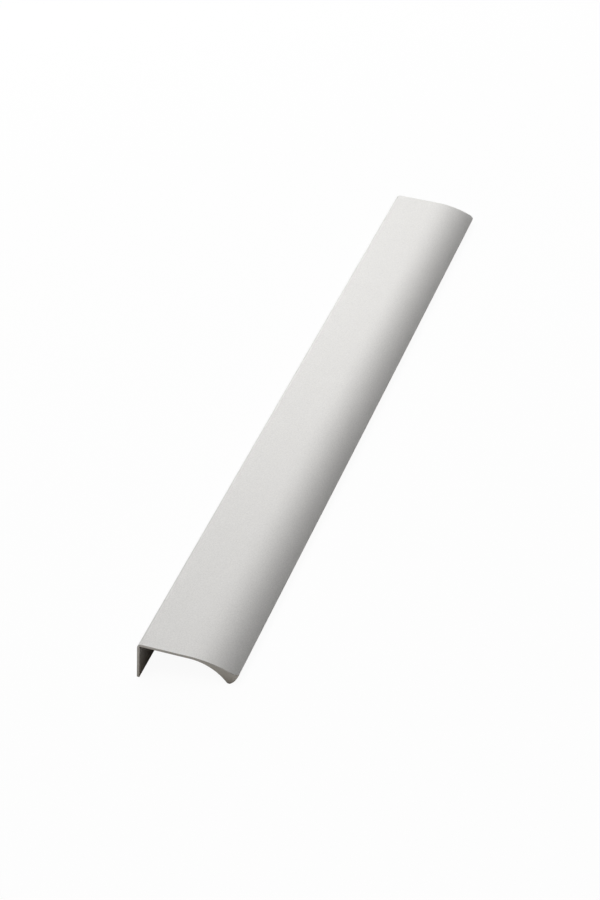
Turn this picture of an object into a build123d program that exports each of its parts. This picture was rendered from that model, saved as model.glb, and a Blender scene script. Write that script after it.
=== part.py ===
"""Edge pull: one length of thin aluminium profile for the top edge of a drawer or door front.

The profile is an angle with a curved lip. Its flange goes down behind the front, its flat plate
lies on the front's top edge, and its lip bends forward and down, so that fingers reach under it.

The section is drawn as the pull sits on a front: u runs from the flange's outer face towards the
nose, v runs up, and the plate's top is v = 0. The finished piece is then turned about its length,
so that it lies as it comes to rest on a level floor, on the flange's foot and the lip's tip.
"""

import os
from math import asin, atan2, cos, degrees, radians, sin, sqrt

from build123d import *

# Overall sizes of the pull, in millimetres
LENGTH = 350.0
DEPTH = 38.0
FLANGE_DROP = 15.6

# Walls of the profile
PLATE_THICKNESS = 1.0
FLANGE_THICKNESS = 1.0

# The flat seat under the plate takes a front of 18 mm board
SEAT_DEPTH = 18.7

# Curved lip: the top side turns down on a wide arc, the underside on a tighter one
TOP_FLAT_DEPTH = 19.6
TOP_ARC_RADIUS = 43.0
UNDER_ARC_RADIUS = 18.1
NOSE_RADIUS = 0.3
NOSE_TURN = 20.0
LIP_FACE_RADIUS = 7.8
LIP_TIP_RADIUS = 1.2

# Corners and edges
BACK_CORNER_RADIUS = 1.7
INNER_CORNER_RADIUS = 0.2
NOSE_END_RADIUS = 2.0
FLANGE_END_RADIUS = 0.6
END_EDGE_RADIUS = 0.15

# Screw holes through the flange, hidden behind the front: one near each end
SCREW_HOLE_DIAMETER = 4.0
SCREW_HOLE_FROM_END = 15.0
COUNTERSINK_DIAMETER = 5.2
COUNTERSINK_ANGLE = 90.0
SCREW_HOLE_BELOW_PLATE = 8.0


def direction(angle):
    """Unit vector at an angle in degrees from the u direction."""
    return Vector(cos(radians(angle)), sin(radians(angle)))


def angle_of(vector):
    """Angle of a vector in degrees from the u direction."""
    return degrees(atan2(vector.Y, vector.X))


def lip_tip_centre(face_centre, under_centre):
    """Centre of the lip's tip: it touches the lip's front face inside and the under arc outside."""
    to_face = LIP_FACE_RADIUS - LIP_TIP_RADIUS
    to_under = UNDER_ARC_RADIUS + LIP_TIP_RADIUS
    between = under_centre - face_centre
    along = (to_face**2 - to_under**2 + between.length**2) / (2 * between.length)
    aside = sqrt(to_face**2 - along**2)
    unit = between.normalized()
    return face_centre + unit * along + Vector(-unit.Y, unit.X) * aside


def section_centres():
    """Centres of the section's arcs, each worked out so that it meets its neighbours smoothly."""
    top = Vector(TOP_FLAT_DEPTH, -TOP_ARC_RADIUS)
    reach = TOP_ARC_RADIUS - NOSE_RADIUS
    nose_u = DEPTH - NOSE_RADIUS
    nose = Vector(nose_u, top.Y + sqrt(reach**2 - (nose_u - top.X) ** 2))
    face = nose - direction(-NOSE_TURN) * (LIP_FACE_RADIUS - NOSE_RADIUS)
    under = Vector(FLANGE_THICKNESS + SEAT_DEPTH, -PLATE_THICKNESS - UNDER_ARC_RADIUS)
    tip = lip_tip_centre(face, under)
    foot = Vector(FLANGE_THICKNESS / 2, -FLANGE_DROP + FLANGE_THICKNESS / 2)
    return {"top": top, "nose": nose, "face": face, "tip": tip, "under": under, "foot": foot}


def section_outline(centres):
    """The closed outline, clockwise from the back corner, as straight runs and tangent arcs."""
    back = Vector(BACK_CORNER_RADIUS, -BACK_CORNER_RADIUS)
    inner = Vector(
        FLANGE_THICKNESS + INNER_CORNER_RADIUS, -PLATE_THICKNESS - INNER_CORNER_RADIUS
    )
    nose_start = angle_of(centres["nose"] - centres["top"])
    face_end = angle_of(centres["tip"] - centres["face"])
    tip_end = angle_of(centres["under"] - centres["tip"])
    under_start = angle_of(centres["tip"] - centres["under"])
    foot_radius = FLANGE_THICKNESS / 2

    def arc(centre, radius, start, end):
        return CenterArc(centre, radius, start, end - start)

    back_arc = arc(back, BACK_CORNER_RADIUS, 180, 90)
    top_arc = arc(centres["top"], TOP_ARC_RADIUS, 90, nose_start)
    nose_arc = arc(centres["nose"], NOSE_RADIUS, nose_start, -NOSE_TURN)
    face_arc = arc(centres["face"], LIP_FACE_RADIUS, -NOSE_TURN, face_end)
    tip_arc = arc(centres["tip"], LIP_TIP_RADIUS, face_end, tip_end)
    under_arc = arc(centres["under"], UNDER_ARC_RADIUS, under_start, 90)
    inner_arc = arc(inner, INNER_CORNER_RADIUS, 90, 180)
    foot_arc = arc(centres["foot"], foot_radius, 0, -180)
    return [
        back_arc,
        Line(back_arc @ 1, top_arc @ 0),
        top_arc,
        nose_arc,
        face_arc,
        tip_arc,
        under_arc,
        Line(under_arc @ 1, inner_arc @ 0),
        inner_arc,
        Line(inner_arc @ 1, foot_arc @ 0),
        foot_arc,
        Line(foot_arc @ 1, back_arc @ 0),
    ]


def profile_length(centres):
    """The section drawn out to the pull's length along X, centred; v is up and u runs to -Y.

    The sawn edges round both end faces are broken to a small radius.
    """
    section_plane = Plane(origin=(-LENGTH / 2, 0, 0), x_dir=(0, -1, 0), z_dir=(-1, 0, 0))
    section = section_plane * Face(Wire(section_outline(centres)))
    bar = extrude(section, LENGTH, dir=(1, 0, 0))
    return fillet(bar.faces().filter_by(Plane.YZ).edges(), END_EDGE_RADIUS)


def end_trims():
    """Two blanks that round the bar's corners: the nose seen from above, the foot from behind."""
    room = 1.0
    plan = Rectangle(LENGTH, DEPTH + room, align=(Align.CENTER, Align.MIN))
    plan = fillet(plan.vertices().group_by(Axis.Y)[0], NOSE_END_RADIUS)
    plan_blank = extrude(Pos(0, -DEPTH, -FLANGE_DROP - room) * plan, FLANGE_DROP + 2 * room)
    side = Rectangle(LENGTH, FLANGE_DROP + room, align=(Align.CENTER, Align.MIN))
    side = fillet(side.vertices().group_by(Axis.Y)[0], FLANGE_END_RADIUS)
    side_plane = Plane(origin=(0, room, -FLANGE_DROP), x_dir=(1, 0, 0), z_dir=(0, -1, 0))
    side_blank = extrude(side_plane * side, DEPTH + 2 * room)
    return plan_blank, side_blank


def screw_holes():
    """Tools for the two countersunk holes, which enter the flange from its outer face."""
    radius = SCREW_HOLE_DIAMETER / 2
    sink_radius = COUNTERSINK_DIAMETER / 2
    hole_height = -PLATE_THICKNESS - SCREW_HOLE_BELOW_PLATE
    hole_x = LENGTH / 2 - SCREW_HOLE_FROM_END
    tools = []
    for x in (-hole_x, hole_x):
        entry = Plane(origin=(x, 0, hole_height), x_dir=(1, 0, 0), z_dir=(0, 1, 0))
        tools.append(
            entry
            * CounterSinkHole(radius, sink_radius, 2 * FLANGE_THICKNESS, COUNTERSINK_ANGLE)
        )
    return tools


def rest_lean(centres):
    """Degrees that the nose sinks below level when the foot and the lip's tip both touch a floor."""
    span = centres["tip"] - centres["foot"]
    rise = LIP_TIP_RADIUS - FLANGE_THICKNESS / 2
    return angle_of(span) - degrees(asin(rise / span.length))


def as_it_lies(pull, centres):
    """The pull turned to its rest on the floor, with the origin under the middle of its box."""
    leaning = Rot(X=rest_lean(centres)) * pull
    box = leaning.bounding_box()
    return Pos(-box.center().X, -box.center().Y, -box.min.Z) * leaning


def edge_pull():
    """The whole piece, as it sits on a front."""
    plan_blank, side_blank = end_trims()
    pull = profile_length(section_centres()) & plan_blank & side_blank
    for tool in screw_holes():
        pull = pull - tool
    return pull


def main():
    os.makedirs("parts", exist_ok=True)
    pull = as_it_lies(edge_pull(), section_centres())
    export_step(pull, "parts/pull_profile.step")


main()
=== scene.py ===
"""Edge pull, dressed for the camera: the profile's surface is worked out from its section, gets its
matte anodised finish, and lies on a pale floor in soft studio light."""

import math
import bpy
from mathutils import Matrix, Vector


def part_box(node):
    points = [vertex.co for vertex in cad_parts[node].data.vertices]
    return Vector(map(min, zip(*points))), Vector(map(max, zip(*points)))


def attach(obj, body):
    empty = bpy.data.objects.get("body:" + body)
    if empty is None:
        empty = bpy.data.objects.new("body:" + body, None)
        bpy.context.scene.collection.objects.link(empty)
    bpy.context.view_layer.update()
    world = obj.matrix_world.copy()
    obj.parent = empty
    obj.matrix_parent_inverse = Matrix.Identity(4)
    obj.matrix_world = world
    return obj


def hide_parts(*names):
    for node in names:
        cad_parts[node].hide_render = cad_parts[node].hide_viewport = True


bl_info = {
    "name": "Edge Pull",
    "version": (1, 0, 0),
    "blender": (4, 5, 0),
    "location": "3D View > Sidebar > Edge Pull",
    "description": "Builds an aluminium edge pull with rounded sawn ends, and a studio to see it in",
    "category": "Object",
}

import bmesh
import bpy
import numpy as np
from bpy.props import FloatProperty, FloatVectorProperty, IntProperty, PointerProperty
from mathutils import Euler, Vector

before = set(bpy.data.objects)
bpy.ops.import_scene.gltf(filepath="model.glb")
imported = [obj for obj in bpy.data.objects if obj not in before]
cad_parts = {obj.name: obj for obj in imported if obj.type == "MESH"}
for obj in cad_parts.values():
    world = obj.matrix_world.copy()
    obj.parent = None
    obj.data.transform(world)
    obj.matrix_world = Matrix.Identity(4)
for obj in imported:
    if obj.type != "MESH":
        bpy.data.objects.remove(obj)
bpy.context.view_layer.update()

NODE = "pull_profile"
PIECE = "pull_profile_skin"
MM = 0.001
PULL_LOW, PULL_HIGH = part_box(NODE)

# Steps of the grid round the section, over the broken edges and across the ends
FOOT_STEPS = 6
ROWS_BELOW = 2
ROWS_ABOVE = 3
CORNER_STEPS = 12
PLATE_STEPS = 8
NOSE_STEPS = 10
FACE_STEPS = 12
TIP_STEPS = 8
HOLE_STEPS = 12
RIM_STEPS = 5
RUNG_STEPS = 12

# The square of grid round a screw hole, and where the under arc's finer steps begin
HOLE_BLOCK_SHARE = 1.25
UNDER_ARC_SPLIT = 0.8

# Saw lines on the ends: their length, and how far they slant from level
SAW_LINE_LENGTH = 0.02
SAW_SLANT = math.radians(12)

# How strongly the dimples and the saw lines turn the normal
SKIN_GRAIN = 0.6
SAWN_GRAIN = 0.8
SAW_LINES = 0.5

# How much coarse noise is added to the fine one, and the range that a noise usually keeps to
MOTTLE_SHARE = 2.0
USUAL_NOISE = (0.3, 0.7)

# Detail of the noises for the dimples, for their patches and for the saw lines
GRAIN_DETAIL = 1.0
MOTTLE_DETAIL = 3.0
SAW_DETAIL = 2.0

# How far the roughness swings either way, and how much rougher the sawn ends are
ROUGHNESS_SWING = 0.03
SAWN_ROUGHER = 0.1

# The floor's roughness, and how many rays feel for the hollows over a point of it, for the shade
# painted into the floor there
FLOOR_ROUGHNESS = 0.9
PAINTED_SHADE_RAYS = 8

# Edges that turn more than this stay sharp
SHARP_FROM = math.radians(35)

# Distance and width of a lamp
CLOSE_LAMP = (0.9, 0.5)
WIDE_LAMP = (2.6, 2.0)
CEILING_LAMP = (2.6, 3.0)

# Long side of the camera's sensor in millimetres
SENSOR_SIDE = 36


# Properties


def size(name, description, millimetres):
    """A length property in metres, with its default given in millimetres."""
    return FloatProperty(
        name=name,
        description=description,
        default=millimetres * MM,
        min=0.0,
        precision=5,
        subtype="DISTANCE",
        unit="LENGTH",
    )


def tone(name, description, colour):
    """A linear colour property."""
    return FloatVectorProperty(
        name=name, description=description, default=colour, size=3, min=0, max=1, subtype="COLOR"
    )


def amount(name, description, value):
    """A plain number without a unit."""
    return FloatProperty(name=name, description=description, default=value, min=0.0)


class EdgePullProfile(bpy.types.PropertyGroup):
    """Sizes of the profile, measured as it sits on a front: u from the flange's back, v up."""

    length: FloatProperty(
        name="Length",
        description="Length of the sawn profile",
        default=PULL_HIGH.x - PULL_LOW.x,
        subtype="DISTANCE",
        unit="LENGTH",
    )
    depth: size("Depth", "From the flange's outer face to the nose", 38.0)
    flange_drop: size("Flange drop", "From the plate's top to the flange's foot", 15.6)
    plate_thickness: size("Plate thickness", "Wall of the flat plate", 1.0)
    flange_thickness: size("Flange thickness", "Wall of the flange", 1.0)
    seat_depth: size("Seat depth", "Flat underside that lies on the front's edge", 18.7)
    top_flat_depth: size("Top flat depth", "Flat top, from the flange's back to the curve", 19.6)
    top_arc_radius: size("Top arc radius", "Curve of the lip's top side", 43.0)
    under_arc_radius: size("Under arc radius", "Curve of the lip's underside", 18.1)
    nose_radius: size("Nose radius", "Rounding between the lip's top and its front face", 0.3)
    nose_turn: FloatProperty(
        name="Nose turn",
        description="How far below level the nose's rounding ends",
        default=math.radians(20.0),
        subtype="ANGLE",
        unit="ROTATION",
    )
    lip_face_radius: size("Lip face radius", "Curve of the lip's front face", 7.8)
    lip_tip_radius: size("Lip tip radius", "Rounding of the lip's tip", 1.2)
    back_corner_radius: size("Back corner radius", "Outer bend from flange to plate", 1.7)
    inner_corner_radius: size("Inner corner radius", "Inner bend from flange to plate", 0.2)
    nose_end_radius: size("Nose end radius", "Corner of nose and sawn end, from above", 2.0)
    flange_end_radius: size("Flange end radius", "Corner of foot and sawn end, from behind", 0.6)
    end_edge_radius: size("End edge radius", "Broken edge round the sawn ends", 0.15)
    hole_diameter: size("Hole diameter", "Screw holes in the flange", 4.0)
    sink_diameter: size("Countersink diameter", "Mouth of each screw hole", 5.2)
    hole_from_end: size("Hole from end", "From a sawn end to the nearer hole", 15.0)
    hole_below_plate: size("Hole below plate", "From the plate's underside to the holes", 8.0)
    arc_steps: IntProperty(
        name="Arc steps", description="Steps along the lip's widest arc", default=36, min=8
    )


class EdgePullFinish(bpy.types.PropertyGroup):
    """Colours and grain of the anodised metal."""

    metal: tone("Metal", "Colour of the anodised surface", (0.792, 0.783, 0.766))
    # The sawn ends' colour is darker than the metal's, which paints the shade they lie in; their saw
    # lines and rougher finish are their own
    sawn: tone("Sawn end", "Colour of the sawn ends", (0.42, 0.402, 0.373))
    metal_share: amount("Metal share", "How much bare metal shows through the oxide", 0.8)
    roughness: amount("Roughness", "Mean roughness of the blasted surface", 0.5)
    grain_size: size("Grain size", "Width of one dimple of the blasted grain", 0.18)
    mottle_size: size("Mottle size", "Width of a patch of dimples in the finish", 0.5)
    grain_depth: size("Grain depth", "Depth of the blasted grain", 0.03)
    speckle: amount("Speckle", "How much lighter or darker a patch can be", 0.06)
    saw_mark: size("Saw mark", "Width of one mark of the saw on the ends", 0.12)


class EdgePullStage(bpy.types.PropertyGroup):
    """Floor, light and camera."""

    floor: tone("Floor", "Colour of the floor", (0.97, 0.97, 0.97))
    floor_width: size("Floor width", "Side of the square floor", 16000.0)
    floor_glow: amount("Floor glow", "Share of plain white in the floor, as the camera sees it", 0.94)
    # Shade painted into the floor's colour and glow under the pull: how far it reaches, and how steeply
    # each colour falls, red least so that the shade turns warmer
    painted_shade_reach: size("Painted shade reach", "How far the pull darkens the floor in reflections", 40.0)
    painted_shade_steepness: FloatVectorProperty(
        name="Painted shade steepness",
        description="How steeply the floor's red, green and blue fall in the hollows",
        default=(2.3, 2.5, 2.75),
        size=3,
        min=0.0,
    )
    far_end_power: amount("Far end lamp", "Watts of the lamp close beyond the far end", 0.9)
    beside_power: amount("Beside lamp", "Watts of the lamp close beside the far end's", 0.57)
    low_power: amount("Low lamp", "Watts of the lamp close and low off the far back corner", 1.13)
    near_end_power: amount("Near end lamp", "Watts of the wide lamp high over the near end", 23.0)
    back_power: amount("Back lamp", "Watts of the wide lamp high behind the flange", 10.0)
    ceiling_power: amount("Ceiling lamp", "Watts of the widest lamp, straight overhead", 28.0)
    sky: tone("Surroundings", "Light from all round", (0.0, 0.0, 0.0))
    lens: FloatProperty(
        name="Lens",
        description="Focal length for the sensor's long side",
        default=92.3,
        subtype="DISTANCE_CAMERA",
    )
    camera_place: FloatVectorProperty(
        name="Camera place",
        description="Where the camera stands",
        default=(-0.76472, -0.31095, 0.49192),
        subtype="TRANSLATION",
        unit="LENGTH",
    )
    camera_turn: FloatVectorProperty(
        name="Camera turn",
        description="How the camera is turned",
        default=tuple(math.radians(a) for a in (58.153, 9.061, -72.482)),
        subtype="EULER",
        unit="ROTATION",
    )


# Section of the profile


def unit(angle):
    """(cos a, sin a) for an angle in degrees, or for each angle of an array."""
    a = np.radians(angle)
    return np.stack([np.cos(a), np.sin(a)], axis=-1)


def angle_of(vector):
    """Angle of a vector in degrees from the u direction."""
    return math.degrees(math.atan2(vector[1], vector[0]))


def arc(centre, radius, start, end, steps, hollow=False):
    """Points and outward normals round an arc: centre + radius * (cos a, sin a), a evenly spaced.

    A hollow arc has the metal outside its circle, so its normals point to the centre.
    """
    way = unit(np.linspace(start, end, steps + 1))
    return centre + radius * way, -way if hollow else way


def straight(start, end, normal, shares):
    """Points and normals along a straight run: start + share * (end - start) for each share."""
    points = start + np.outer(shares, np.subtract(end, start))
    return points, np.tile(np.asarray(normal, float), (len(points), 1))


def joined(stretches):
    """One side of the section from its stretches, without the points that neighbours share."""
    points = np.vstack([p if k == 0 else p[1:] for k, (p, _) in enumerate(stretches)])
    normals = np.vstack([n if k == 0 else n[1:] for k, (_, n) in enumerate(stretches)])
    return points, normals


def tip_centre(face, under, s):
    """Centre of the lip's tip, where a circle inside the face's arc meets one outside the under arc.

    The two circles have the radii face - tip and under + tip, and cross at a point found from the
    share of the line between their centres and the height beside it.
    """
    to_face = s.lip_face_radius - s.lip_tip_radius
    to_under = s.under_arc_radius + s.lip_tip_radius
    between = under - face
    span = np.hypot(*between)
    along = (to_face**2 - to_under**2 + span**2) / (2 * span)
    aside = math.sqrt(to_face**2 - along**2)
    way = between / span
    return face + way * along + np.array([-way[1], way[0]]) * aside


def section_centres(s):
    """Centres of the section's arcs, so that each arc runs smoothly into the next.

    Two arcs that meet smoothly have both centres and the meeting point on one line, so the
    centres stand apart by the difference of the radii, or by their sum where the curve turns.
    """
    top = np.array([s.top_flat_depth, -s.top_arc_radius])
    reach = s.top_arc_radius - s.nose_radius
    nose_u = s.depth - s.nose_radius
    nose = np.array([nose_u, top[1] + math.sqrt(reach**2 - (nose_u - top[0]) ** 2)])
    face = nose - unit(-math.degrees(s.nose_turn)) * (s.lip_face_radius - s.nose_radius)
    under = np.array([s.flange_thickness + s.seat_depth, -s.plate_thickness - s.under_arc_radius])
    foot_radius = s.flange_thickness / 2
    return {
        "top": top,
        "nose": nose,
        "face": face,
        "under": under,
        "tip": tip_centre(face, under, s),
        "foot": np.array([foot_radius, foot_radius - s.flange_drop]),
    }


def flange_rows(low, high, hole, half_block, steps):
    """Shares of the way up a flange face, with even steps across the block round the holes."""
    below = np.linspace(low, hole - half_block, ROWS_BELOW + 1)[:-1]
    block = np.linspace(hole - half_block, hole + half_block, steps + 1)
    above = np.linspace(hole + half_block, high, ROWS_ABOVE + 1)[1:]
    return (np.concatenate([below, block, above]) - low) / (high - low)


def section_sides(s, centres):
    """The section's outer and inner sides, from the foot's lowest point to the tip's middle.

    Both sides have the same number of points, so that point i of one faces point i of the other
    across the wall. Returns (points, normals) for each.
    """
    top, nose, face, under, tip, foot = (
        centres[k] for k in ("top", "nose", "face", "under", "tip", "foot")
    )
    t, tf, ro, ri = s.plate_thickness, s.flange_thickness, s.back_corner_radius, s.inner_corner_radius
    turn = math.degrees(s.nose_turn)
    nose_start = angle_of(nose - top)
    face_end = angle_of(tip - face)
    tip_end = angle_of(under - tip)
    tip_middle = (face_end + tip_end) / 2
    under_end = angle_of(tip - under)
    under_split = 90 + (under_end - 90) * UNDER_ARC_SPLIT
    hole = -t - s.hole_below_plate
    half = s.sink_diameter / 2 * HOLE_BLOCK_SHARE
    outer_rows = flange_rows(foot[1], -ro, hole, half, HOLE_STEPS)
    inner_rows = flange_rows(foot[1], -t - ri, hole, half, HOLE_STEPS)
    plate_rows = np.linspace(0, 1, PLATE_STEPS + 1)
    outer = [
        arc(foot, tf / 2, -90, -180, FOOT_STEPS),
        straight((0, foot[1]), (0, -ro), (-1, 0), outer_rows),
        arc(np.array([ro, -ro]), ro, 180, 90, CORNER_STEPS),
        straight((ro, 0), (top[0], 0), (0, 1), plate_rows),
        arc(top, s.top_arc_radius, 90, nose_start, s.arc_steps),
        arc(nose, s.nose_radius, nose_start, -turn, NOSE_STEPS),
        arc(face, s.lip_face_radius, -turn, face_end, FACE_STEPS),
        arc(tip, s.lip_tip_radius, face_end, tip_middle, TIP_STEPS),
    ]
    inner = [
        arc(foot, tf / 2, -90, 0, FOOT_STEPS),
        straight((tf, foot[1]), (tf, -t - ri), (1, 0), inner_rows),
        arc(np.array([tf + ri, -t - ri]), ri, 180, 90, CORNER_STEPS, hollow=True),
        straight((tf + ri, -t), (under[0], -t), (0, -1), plate_rows),
        arc(under, s.under_arc_radius, 90, under_split, s.arc_steps, hollow=True),
        arc(
            under, s.under_arc_radius, under_split, under_end, NOSE_STEPS + FACE_STEPS, hollow=True
        ),
        arc(tip, s.lip_tip_radius, tip_end, tip_middle, TIP_STEPS),
    ]
    return joined(outer), joined(inner)


# Surface of the whole piece


def end_reach(points, s):
    """How far from the middle a sawn end stands over each point of the section.

    It is half the length, less the drop of a quarter circle as u nears the nose, and less the
    same as v nears the foot: a circle of radius r drops by r - sqrt(r^2 - d^2).
    """
    rn, rf = s.nose_end_radius, s.flange_end_radius
    past_nose = np.clip(points[..., 0] - (s.depth - rn), 0, rn)
    past_foot = np.clip(rf - s.flange_drop - points[..., 1], 0, rf)
    nose_drop = rn - np.sqrt(rn**2 - past_nose**2)
    foot_drop = rf - np.sqrt(rf**2 - past_foot**2)
    return s.length / 2 - nose_drop - foot_drop


def skin_quads(rings, around):
    """Index quads between neighbouring rings, each of which closes on itself.

    Point c of ring r has the number r * around + c. Returns an array (rings - 1, around, 4).
    """
    r = np.arange(rings - 1)[:, None]
    c = np.arange(around)[None, :]
    right = (c + 1) % around
    corners = [r * around + c, r * around + right, (r + 1) * around + right, (r + 1) * around + c]
    return np.stack(np.broadcast_arrays(*corners), axis=-1)


def profile_surface(s):
    """Vertices (x, u, v), quads, triangles and the quads' material numbers of the closed surface.

    Along and around are the two parameters of the long skin. Its rings are the section at
    stations along the length, and at each end a quarter circle of radius r carries it over the
    broken edge: the section moves in by r(1 - cos a) as x moves out by r sin a. Each sawn end is
    filled by rungs from the outer to the inner side, with points at the shares (1 - cos a) / 2.
    """
    centres = section_centres(s)
    (outer, outer_normals), (inner, inner_normals) = section_sides(s, centres)
    side = len(outer)
    around = 2 * side - 2
    points = np.vstack([outer, inner[-2:0:-1]])
    normals = np.vstack([outer_normals, inner_normals[-2:0:-1]])
    reach = end_reach(points, s)
    radius = s.end_edge_radius

    hole_x = s.length / 2 - s.hole_from_end
    half = s.sink_diameter / 2 * HOLE_BLOCK_SHARE
    block = np.linspace(-half, half, HOLE_STEPS + 1)
    stations = np.concatenate([block - hole_x, block + hole_x])
    rim = np.radians(np.linspace(0, 90, RIM_STEPS + 1))[:, None]
    moved_in = points - normals * (radius * (1 - np.cos(rim)))[..., None]
    rim_x = end_reach(moved_in, s) - radius * (1 - np.sin(rim))
    x = np.vstack([-rim_x[::-1], np.repeat(stations[:, None], around, axis=1), rim_x])
    level = np.broadcast_to(points, (len(stations), around, 2))
    uv = np.concatenate([moved_in[::-1], level, moved_in])
    skin = np.concatenate([x[..., None], uv], axis=-1)
    rings = len(skin)
    vertices = [skin.reshape(-1, 3)]
    count = rings * around
    quads = skin_quads(rings, around)

    first_row = FOOT_STEPS + ROWS_BELOW
    rows = np.arange(first_row, first_row + HOLE_STEPS + 1)
    keep = np.ones(quads.shape[:2], bool)
    patches = []
    for number, centre_x in enumerate((-hole_x, hole_x)):
        first_ring = RIM_STEPS + 1 + number * (HOLE_STEPS + 1)
        block_rings = np.arange(first_ring, first_ring + HOLE_STEPS + 1)
        keep[np.ix_(block_rings[:-1], rows[:-1])] = False
        keep[np.ix_(block_rings[:-1], around - rows[1:])] = False
        outer_edge = block_border(block_rings, rows, around)
        inner_edge = block_border(block_rings, (around - rows) % around, around)
        new, faces = hole_surface(skin, outer_edge, inner_edge, centre_x, s, count)
        vertices.append(new)
        count += len(new)
        patches.append(faces)

    ends, triangles = [], []
    across = (1 - np.cos(np.linspace(0, np.pi, RUNG_STEPS + 1))) / 2
    for ring, sign in ((0, -1), (rings - 1, 1)):
        outer_index = ring * around + np.arange(side)
        inner_index = ring * around + (around - np.arange(side)) % around
        flat = skin.reshape(-1, 3)
        a, b = flat[outer_index, 1:], flat[inner_index, 1:]
        between = a[:, None] + (b - a)[:, None] * across[None, 1:-1, None]
        inside = np.concatenate([sign * end_reach(between, s)[..., None], between], axis=-1)[1:-1]
        vertices.append(inside.reshape(-1, 3))
        index = np.empty((side, RUNG_STEPS + 1), int)
        index[:, 0], index[:, -1] = outer_index, inner_index
        added = inside.shape[0] * inside.shape[1]
        index[1:-1, 1:-1] = count + np.arange(added).reshape(inside.shape[:2])
        count += added
        body = index[1:-1]
        ends.append(np.stack([body[:-1, :-1], body[:-1, 1:], body[1:, 1:], body[1:, :-1]], axis=-1))
        for pole, next_row in ((index[0, 0], index[1]), (index[-1, 0], index[-2])):
            fan = np.stack([np.full(RUNG_STEPS, pole), next_row[:-1], next_row[1:]], axis=-1)
            triangles.append(fan)

    long_quads = quads[keep]
    ring_of_quad = np.broadcast_to(np.arange(rings - 1)[:, None], quads.shape[:2])[keep]
    # The broken edges round the ends take the sawn metal, with its darker colour of painted shade
    on_rim = (ring_of_quad < RIM_STEPS) | (ring_of_quad >= rings - 1 - RIM_STEPS)
    quad_sets = [(long_quads, on_rim.astype(int))]
    quad_sets += [(p, np.zeros(len(p), int)) for p in patches]
    quad_sets += [(e.reshape(-1, 4), np.ones(e.shape[0] * e.shape[1], int)) for e in ends]
    all_quads = np.vstack([q for q, _ in quad_sets])
    finish = np.concatenate([f for _, f in quad_sets])
    return np.vstack(vertices), all_quads, np.vstack(triangles), finish


def block_border(rings, columns, around):
    """Numbers of the points round the edge of a block of the long skin, in order.

    Point c of ring r has the number r * around + c.
    """
    across = [rings[0] * around + c for c in columns[:-1]]
    up = [r * around + columns[-1] for r in rings[:-1]]
    back = [rings[-1] * around + c for c in columns[:0:-1]]
    down = [r * around + columns[0] for r in rings[:0:-1]]
    return np.array(across + up + back + down)


def hole_surface(skin, outer_edge, inner_edge, centre_x, s, start):
    """A countersunk hole between two square edges: new vertices, and quads between the rings.

    Each ring keeps the edge points' angles a round the hole's centre. The square is blended half
    way to the circle r(cos a, sin a), and then rings lead down the countersink and the land.
    """
    flat = skin.reshape(-1, 3)
    centre = np.array([centre_x, -s.plate_thickness - s.hole_below_plate])
    away = flat[outer_edge][:, [0, 2]] - centre
    way = away / np.hypot(*away.T)[:, None]
    mouth, land = s.sink_diameter / 2, s.hole_diameter / 2
    sink_depth = mouth - land

    def ring(u, offset):
        """Points at the depth u, each offset from the hole's centre in x and v."""
        xv = centre + offset
        return np.stack([xv[:, 0], np.full(len(xv), u), xv[:, 1]], axis=-1)

    new = [
        ring(0, (away + way * mouth) / 2),
        ring(0, way * mouth),
        ring(sink_depth, way * land),
        ring(s.flange_thickness, way * land),
        ring(s.flange_thickness, (away + way * land) / 2),
    ]
    size_of_ring = len(outer_edge)
    index = np.vstack(
        [outer_edge, start + np.arange(len(new) * size_of_ring).reshape(len(new), -1), inner_edge]
    )
    right = np.roll(index, -1, axis=1)
    quads = np.stack([index[:-1], right[:-1], right[1:], index[1:]], axis=-1).reshape(-1, 4)
    return np.vstack(new), quads


def rest_lean(s, centres):
    """Angle by which the nose sinks when the foot's and the tip's rounds both touch a floor.

    It is the slope of the line between their centres, less the angle whose sine is the
    difference of their radii over that line's length.
    """
    span = centres["tip"] - centres["foot"]
    rise = s.lip_tip_radius - s.flange_thickness / 2
    return math.atan2(span[1], span[0]) - math.asin(rise / np.hypot(*span))


def as_it_lies(vertices, s):
    """Row-frame points: (x, u, v) becomes (x, -u, v), leans about X, and meets the frame's box."""
    lean = rest_lean(s, section_centres(s))
    y, z = -vertices[:, 1], vertices[:, 2]
    turned = np.stack(
        [
            vertices[:, 0],
            y * math.cos(lean) - z * math.sin(lean),
            y * math.sin(lean) + z * math.cos(lean),
        ],
        axis=-1,
    )
    middle = (turned.min(axis=0) + turned.max(axis=0)) / 2
    place = (PULL_LOW + PULL_HIGH) / 2
    turned += np.array([place.x - middle[0], place.y - middle[1], PULL_LOW.z - turned[:, 2].min()])
    return turned


# Materials


def socket(group, name, in_out, kind, default=None):
    """Adds a named input or output to a node group."""
    made = group.interface.new_socket(name=name, in_out=in_out, socket_type=kind)
    if default is not None:
        made.default_value = default


def node(tree, kind, place, **values):
    """Adds a node, sets its plain attributes, and puts it at a place in the editor."""
    made = tree.nodes.new(kind)
    made.location = place
    for name, value in values.items():
        setattr(made, name, value)
    return made


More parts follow.
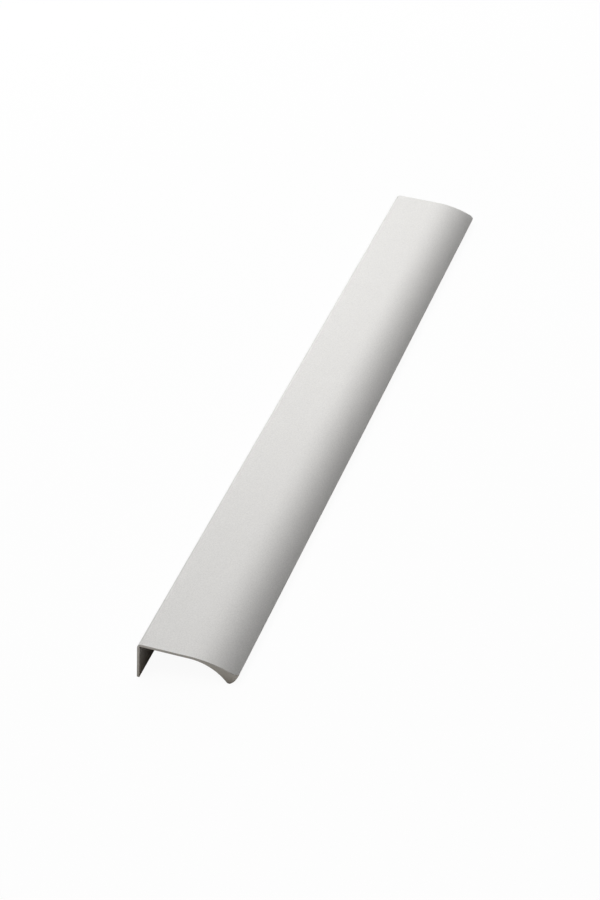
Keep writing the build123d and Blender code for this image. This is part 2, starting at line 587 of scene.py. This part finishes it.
def blasted_grain_group():
    """Node group for a blasted surface: a height of fine dimples on soft clouds, and both alone.

    Two noises are read at the point's place divided by the grain and by the mottle size, and the
    height is the fine one plus a share of the coarse one.
    """
    group = bpy.data.node_groups.new("blasted_grain", "ShaderNodeTree")
    socket(group, "Grain Size", "INPUT", "NodeSocketFloat", 0.0002)
    socket(group, "Mottle Size", "INPUT", "NodeSocketFloat", 0.001)
    socket(group, "Mottle Share", "INPUT", "NodeSocketFloat", 0.5)
    socket(group, "Height", "OUTPUT", "NodeSocketFloat")
    socket(group, "Grain", "OUTPUT", "NodeSocketFloat")
    socket(group, "Mottle", "OUTPUT", "NodeSocketFloat")
    inlet = node(group, "NodeGroupInput", (-900, 0))
    outlet = node(group, "NodeGroupOutput", (500, 0))
    place = node(group, "ShaderNodeTexCoord", (-900, 300))
    noises = []
    kinds = (("Grain Size", GRAIN_DETAIL), ("Mottle Size", MOTTLE_DETAIL))
    for row, (source, detail) in enumerate(kinds):
        scale = node(group, "ShaderNodeMath", (-650, -200 * row), operation="DIVIDE")
        scale.inputs[0].default_value = 1.0
        group.links.new(inlet.outputs[source], scale.inputs[1])
        noise = node(group, "ShaderNodeTexNoise", (-400, -250 * row), noise_dimensions="3D")
        noise.inputs["Detail"].default_value = detail
        group.links.new(place.outputs["Object"], noise.inputs["Vector"])
        group.links.new(scale.outputs[0], noise.inputs["Scale"])
        noises.append(noise)
    share = node(group, "ShaderNodeMath", (100, 0), operation="MULTIPLY_ADD")
    group.links.new(noises[1].outputs["Fac"], share.inputs[0])
    group.links.new(inlet.outputs["Mottle Share"], share.inputs[1])
    group.links.new(noises[0].outputs["Fac"], share.inputs[2])
    group.links.new(share.outputs[0], outlet.inputs["Height"])
    group.links.new(noises[0].outputs["Fac"], outlet.inputs["Grain"])
    group.links.new(noises[1].outputs["Fac"], outlet.inputs["Mottle"])
    return group


def spread(tree, source, place, low, high):
    """Stretches a noise's usual range over the range from low to high."""
    made = node(tree, "ShaderNodeMapRange", place)
    ends = ("From Min", "From Max", "To Min", "To Max")
    for name, value in zip(ends, (*USUAL_NOISE, low, high)):
        made.inputs[name].default_value = value
    tree.links.new(source, made.inputs["Value"])
    return made.outputs["Result"]


def metal(name, colour, look, roughness, grain_share):
    """A matte metal: dimples in its normal, and their patches in its colour and roughness."""
    material = bpy.data.materials.new(name)
    material.use_nodes = True
    tree = material.node_tree
    shader = tree.nodes["Principled BSDF"]
    shader.inputs["Metallic"].default_value = look.metal_share
    grain = node(tree, "ShaderNodeGroup", (-1100, 0), node_tree=bpy.data.node_groups["blasted_grain"])
    grain.inputs["Grain Size"].default_value = look.grain_size
    grain.inputs["Mottle Size"].default_value = look.mottle_size
    grain.inputs["Mottle Share"].default_value = MOTTLE_SHARE

    tint = node(tree, "ShaderNodeMix", (-500, 250), data_type="RGBA")
    tint.inputs["A"].default_value = (*(c * (1 - look.speckle) for c in colour), 1)
    tint.inputs["B"].default_value = (*(min(1.0, c * (1 + look.speckle)) for c in colour), 1)
    patch = spread(tree, grain.outputs["Mottle"], (-750, 250), 0.0, 1.0)
    tree.links.new(patch, tint.inputs["Factor"])
    tree.links.new(tint.outputs["Result"], shader.inputs["Base Color"])

    smoothest, roughest = roughness - ROUGHNESS_SWING, roughness + ROUGHNESS_SWING
    rough = spread(tree, grain.outputs["Grain"], (-500, 0), smoothest, roughest)
    tree.links.new(rough, shader.inputs["Roughness"])

    bump = node(tree, "ShaderNodeBump", (-500, -250), name="relief")
    bump.inputs["Strength"].default_value = grain_share
    bump.inputs["Distance"].default_value = look.grain_depth
    tree.links.new(grain.outputs["Height"], bump.inputs["Height"])
    tree.links.new(bump.outputs["Normal"], shader.inputs["Normal"])
    return material


def sawn_and_shaded_metal(name, look):
    """The metal of the sawn ends, with fine parallel lines from the saw in its normal.

    The lines are a noise drawn out along the saw's way, which slants a little from level. Its
    colour is darker than the anodised metal's, which paints the shade that the ends lie in.
    """
    material = metal(name, look.sawn, look, look.roughness + SAWN_ROUGHER, SAWN_GRAIN)
    tree = material.node_tree
    place = node(tree, "ShaderNodeTexCoord", (-1300, -600))
    drawn_out = node(tree, "ShaderNodeMapping", (-1100, -600), vector_type="TEXTURE")
    drawn_out.inputs["Rotation"].default_value = (SAW_SLANT, 0, 0)
    drawn_out.inputs["Scale"].default_value = (SAW_LINE_LENGTH, SAW_LINE_LENGTH, look.saw_mark)
    lines = node(tree, "ShaderNodeTexNoise", (-850, -600), noise_dimensions="3D")
    lines.inputs["Scale"].default_value = 1.0
    lines.inputs["Detail"].default_value = SAW_DETAIL
    marks = node(tree, "ShaderNodeBump", (-500, -600))
    marks.inputs["Strength"].default_value = SAW_LINES
    marks.inputs["Distance"].default_value = look.grain_depth
    tree.links.new(place.outputs["Object"], drawn_out.inputs["Vector"])
    tree.links.new(drawn_out.outputs["Vector"], lines.inputs["Vector"])
    tree.links.new(lines.outputs["Fac"], marks.inputs["Height"])
    tree.links.new(marks.outputs["Normal"], tree.nodes["relief"].inputs["Normal"])
    return material


def pale_floor(look):
    """A white floor for the camera, for reflections and for glass, that keeps the pull's shadow.

    The floor glows white by a share of what such rays see, and the rest is the lit floor. For all
    but the camera's rays, shade is painted into both parts: they are darker and warmer in the
    hollows under the pull, each colour being the share of sky that the floor sees, raised to that
    colour's power.
    """
    material = bpy.data.materials.new("pale_floor")
    material.use_nodes = True
    tree = material.node_tree
    matte = tree.nodes["Principled BSDF"]
    matte.inputs["Roughness"].default_value = FLOOR_ROUGHNESS
    matte.inputs["Specular IOR Level"].default_value = 0.0
    rays = node(tree, "ShaderNodeLightPath", (-1100, 0))
    # Painted shade: how open the sky is over each point of the floor darkens the floor's colour and
    # glow in the hollows under the pull
    painted_shade_openness = node(tree, "ShaderNodeAmbientOcclusion", (-1300, -400), samples=PAINTED_SHADE_RAYS)
    painted_shade_openness.inputs["Distance"].default_value = look.painted_shade_reach
    hollow = node(tree, "ShaderNodeCombineColor", (-900, -400))
    for row, steepness in enumerate(look.painted_shade_steepness):
        steep = node(tree, "ShaderNodeMath", (-1100, -300 - 150 * row), operation="POWER")
        steep.inputs[1].default_value = steepness
        tree.links.new(painted_shade_openness.outputs["AO"], steep.inputs[0])
        tree.links.new(steep.outputs[0], hollow.inputs[row])
    # The camera sees plain white here, and all other rays see the painted shade
    shade = node(tree, "ShaderNodeMix", (-650, -300), data_type="RGBA")
    shade.inputs["B"].default_value = (1, 1, 1, 1)
    tree.links.new(rays.outputs["Is Camera Ray"], shade.inputs["Factor"])
    tree.links.new(hollow.outputs["Color"], shade.inputs["A"])
    glow = node(tree, "ShaderNodeEmission", (0, -350))
    tree.links.new(shade.outputs["Result"], glow.inputs["Color"])
    # The floor's own colour times the painted shade
    lit = node(tree, "ShaderNodeMix", (-400, 250), data_type="RGBA", blend_type="MULTIPLY")
    lit.inputs["Factor"].default_value = 1.0
    lit.inputs["A"].default_value = (*look.floor, 1)
    tree.links.new(shade.outputs["Result"], lit.inputs["B"])
    tree.links.new(lit.outputs["Result"], matte.inputs["Base Color"])

    seen = rays.outputs["Is Camera Ray"]
    for row, kind in enumerate(("Is Glossy Ray", "Is Transmission Ray")):
        either = node(tree, "ShaderNodeMath", (-800 + 200 * row, 100), operation="MAXIMUM")
        tree.links.new(seen, either.inputs[0])
        tree.links.new(rays.outputs[kind], either.inputs[1])
        seen = either.outputs[0]
    share = node(tree, "ShaderNodeMath", (-350, 0), operation="MULTIPLY")
    share.inputs[1].default_value = look.floor_glow
    tree.links.new(seen, share.inputs[0])
    mix = node(tree, "ShaderNodeMixShader", (250, 0))
    tree.links.new(share.outputs[0], mix.inputs["Fac"])
    tree.links.new(matte.outputs["BSDF"], mix.inputs[1])
    tree.links.new(glow.outputs["Emission"], mix.inputs[2])
    tree.links.new(mix.outputs["Shader"], tree.nodes["Material Output"].inputs["Surface"])
    return material


# Operators


class EDGEPULL_OT_profile(bpy.types.Operator):
    """Builds the pull's dressed surface over the frame's profile"""

    bl_idname = "edgepull.profile"
    bl_label = "Profile"

    def execute(self, context):
        sizes, look = context.scene.edge_pull_profile, context.scene.edge_pull_finish
        vertices, quads, triangles, finish = profile_surface(sizes)
        mesh = bpy.data.meshes.new(PIECE)
        mesh.from_pydata(
            as_it_lies(vertices, sizes).tolist(), [], quads.tolist() + triangles.tolist()
        )
        numbers = np.concatenate([finish, np.ones(len(triangles), int)])
        mesh.polygons.foreach_set("material_index", numbers.astype(np.int32))
        faces = bmesh.new()
        faces.from_mesh(mesh)
        bmesh.ops.recalc_face_normals(faces, faces=faces.faces)
        faces.to_mesh(mesh)
        faces.free()
        mesh.shade_smooth()
        mesh.set_sharp_from_angle(angle=SHARP_FROM)
        if not bpy.data.node_groups.get("blasted_grain"):
            blasted_grain_group()
        mesh.materials.append(metal("anodised_skin", look.metal, look, look.roughness, SKIN_GRAIN))
        # The sawn ends and their broken edges: saw lines, and a darker colour that paints their shade
        mesh.materials.append(sawn_and_shaded_metal("sawn_end_and_shade", look))
        piece = bpy.data.objects.new(PIECE, mesh)
        context.scene.collection.objects.link(piece)
        even = piece.modifiers.new("even_normals", "WEIGHTED_NORMAL")
        even.keep_sharp = True
        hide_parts(NODE)
        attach(piece, "root")
        return {"FINISHED"}


class EDGEPULL_OT_stage(bpy.types.Operator):
    """Builds the floor, the light and the camera"""

    bl_idname = "edgepull.stage"
    bl_label = "Stage"

    def execute(self, context):
        look = context.scene.edge_pull_stage
        self.floor(context, look)
        self.surroundings(context, look)
        self.lamp(context, "far_end", look.far_end_power, CLOSE_LAMP, azimuth=0, elevation=35)
        self.lamp(context, "beside", look.beside_power, CLOSE_LAMP, azimuth=15, elevation=35)
        self.lamp(context, "low", look.low_power, CLOSE_LAMP, azimuth=40, elevation=20)
        self.lamp(context, "near_end", look.near_end_power, WIDE_LAMP, azimuth=180, elevation=60)
        self.lamp(context, "back", look.back_power, WIDE_LAMP, azimuth=90, elevation=60)
        self.lamp(context, "ceiling", look.ceiling_power, CEILING_LAMP, azimuth=0, elevation=90)
        self.camera(context, look)
        context.scene.view_settings.view_transform = "Standard"
        return {"FINISHED"}

    def floor(self, context, look):
        """A square floor at the height that the pull rests on."""
        half = look.floor_width / 2
        corners = [(-half, -half, 0), (half, -half, 0), (half, half, 0), (-half, half, 0)]
        mesh = bpy.data.meshes.new("floor")
        mesh.from_pydata(corners, [], [(0, 1, 2, 3)])
        mesh.materials.append(pale_floor(look))
        floor = bpy.data.objects.new("floor", mesh)
        context.scene.collection.objects.link(floor)

    def surroundings(self, context, look):
        """Even light from all round, of which there is none by default."""
        world = bpy.data.worlds.new("studio")
        world.use_nodes = True
        background = world.node_tree.nodes["Background"]
        background.inputs["Color"].default_value = (*look.sky, 1)
        context.scene.world = world

    def lamp(self, context, name, power, kind, azimuth, elevation):
        """A square soft lamp that faces the pull, placed by its direction from the origin.

        Its kind is its distance and its width.
        """
        distance, width = kind
        light = bpy.data.lights.new(name, "AREA")
        light.energy = power
        light.size = width
        lamp = bpy.data.objects.new(name, light)
        turn, rise = math.radians(azimuth), math.radians(elevation)
        way = Vector((math.cos(rise) * math.cos(turn), math.cos(rise) * math.sin(turn), math.sin(rise)))
        lamp.location = way * distance
        lamp.rotation_euler = (-way).to_track_quat("-Z", "Y").to_euler()
        context.scene.collection.objects.link(lamp)

    def camera(self, context, look):
        """The photograph's view."""
        data = bpy.data.cameras.new("camera")
        data.lens = look.lens
        data.sensor_width = SENSOR_SIDE
        camera = bpy.data.objects.new("camera", data)
        camera.location = look.camera_place
        camera.rotation_euler = Euler(look.camera_turn)
        context.scene.collection.objects.link(camera)
        context.scene.camera = camera


class EDGEPULL_PT_panel(bpy.types.Panel):
    """Lists the sizes, the finish and the pieces"""

    bl_idname = "EDGEPULL_PT_panel"
    bl_label = "Edge Pull"
    bl_space_type = "VIEW_3D"
    bl_region_type = "UI"
    bl_category = "Edge Pull"

    def draw(self, context):
        for group, operator in (
            (context.scene.edge_pull_profile, EDGEPULL_OT_profile),
            (context.scene.edge_pull_finish, None),
            (context.scene.edge_pull_stage, EDGEPULL_OT_stage),
        ):
            column = self.layout.column()
            for name in group.__annotations__:
                column.prop(group, name)
            if operator:
                column.operator(operator.bl_idname)


CLASSES = (
    EdgePullProfile,
    EdgePullFinish,
    EdgePullStage,
    EDGEPULL_OT_profile,
    EDGEPULL_OT_stage,
    EDGEPULL_PT_panel,
)


def register():
    """Registers the classes and hangs the sizes on the scene."""
    for kind in CLASSES:
        bpy.utils.register_class(kind)
    bpy.types.Scene.edge_pull_profile = PointerProperty(type=EdgePullProfile)
    bpy.types.Scene.edge_pull_finish = PointerProperty(type=EdgePullFinish)
    bpy.types.Scene.edge_pull_stage = PointerProperty(type=EdgePullStage)


def unregister():
    """Takes the sizes and the classes away again."""
    del bpy.types.Scene.edge_pull_stage
    del bpy.types.Scene.edge_pull_finish
    del bpy.types.Scene.edge_pull_profile
    for kind in reversed(CLASSES):
        bpy.utils.unregister_class(kind)


def main():
    """Builds the piece and the stage."""
    register()
    bpy.ops.edgepull.profile()
    bpy.ops.edgepull.stage()


if __name__ == "__main__":
    main()
